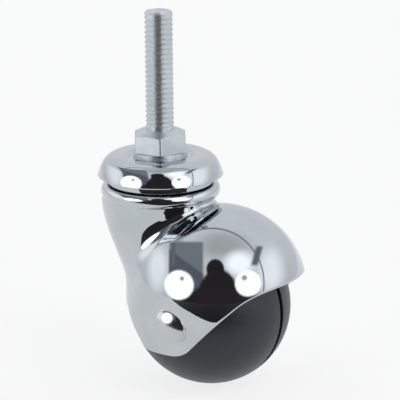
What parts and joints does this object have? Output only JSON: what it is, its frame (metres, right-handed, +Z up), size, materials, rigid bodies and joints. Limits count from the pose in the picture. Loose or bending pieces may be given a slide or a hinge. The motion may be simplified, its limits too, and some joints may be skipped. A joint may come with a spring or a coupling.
{
  "type": "ball castor",
  "caption": "Hooded ball castor with a threaded stem: a chromed hood swivels on a ball bearing and a black ball wheel rolls on its axle.",
  "frame": {"origin": "on the stem's axis, at the seating face round the foot of the thread", "axes": "+Z up along the threaded stem, +X along the trail from the stem towards the wheel, Y along the axle"},
  "size_m": [0.0606, 0.0526, 0.1057],
  "materials": {
    "chrome": "bright chrome plating on pressed steel",
    "zinc_steel": "bright zinc plating",
    "nickel_steel": "nickel plated rivet",
    "ball_steel": "ground steel balls",
    "wheel_plastic": "satin black moulded plastic"
  },
  "bodies": {
    "stem_body": {"threaded_stem": "zinc_steel", "top_cup": "chrome", "lower_race": "zinc_steel", "retaining_washer": "zinc_steel"},
    "hood_body": {"hood": "chrome", "axle_rivet": "nickel_steel", "axle_sleeve": "zinc_steel", "near_thrust_washer": "zinc_steel", "far_thrust_washer": "zinc_steel"},
    "wheel_body": {"near_wheel_half": "wheel_plastic", "far_wheel_half": "wheel_plastic"},
    "upper_ball_ring": {"upper_ball_01": "ball_steel", "upper_ball_02": "ball_steel", "upper_ball_03": "ball_steel", "upper_ball_04": "ball_steel", "upper_ball_05": "ball_steel", "upper_ball_06": "ball_steel", "upper_ball_07": "ball_steel", "upper_ball_08": "ball_steel", "upper_ball_09": "ball_steel", "upper_ball_10": "ball_steel", "upper_ball_11": "ball_steel", "upper_ball_12": "ball_steel", "upper_ball_13": "ball_steel", "upper_ball_14": "ball_steel", "upper_ball_15": "ball_steel", "upper_ball_16": "ball_steel", "upper_ball_17": "ball_steel", "upper_ball_18": "ball_steel"},
    "lower_ball_ring": {"lower_ball_01": "ball_steel", "lower_ball_02": "ball_steel", "lower_ball_03": "ball_steel", "lower_ball_04": "ball_steel", "lower_ball_05": "ball_steel", "lower_ball_06": "ball_steel", "lower_ball_07": "ball_steel", "lower_ball_08": "ball_steel", "lower_ball_09": "ball_steel", "lower_ball_10": "ball_steel", "lower_ball_11": "ball_steel", "lower_ball_12": "ball_steel"}
  },
  "joints": [
    {"name": "swivel", "type": "hinge", "parent": "stem_body", "child": "hood_body", "pos_m": [0, 0, 0], "axis": [0, 0, 1], "continuous": true},
    {"name": "wheel_roll", "type": "hinge", "parent": "hood_body", "child": "wheel_body", "pos_m": [0.016, 0, -0.0495], "axis": [0, 1, 0], "continuous": true},
    {"name": "upper_ring_turn", "type": "hinge", "parent": "stem_body", "child": "upper_ball_ring", "pos_m": [0, 0, 0], "axis": [0, 0, 1], "continuous": true},
    {"name": "lower_ring_turn", "type": "hinge", "parent": "stem_body", "child": "lower_ball_ring", "pos_m": [0, 0, 0], "axis": [0, 0, 1], "continuous": true}
  ],
  "couplings": [
    {"joint": "upper_ring_turn", "follows": "swivel", "ratio": 0.5},
    {"joint": "lower_ring_turn", "follows": "swivel", "ratio": 0.5}
  ]
}
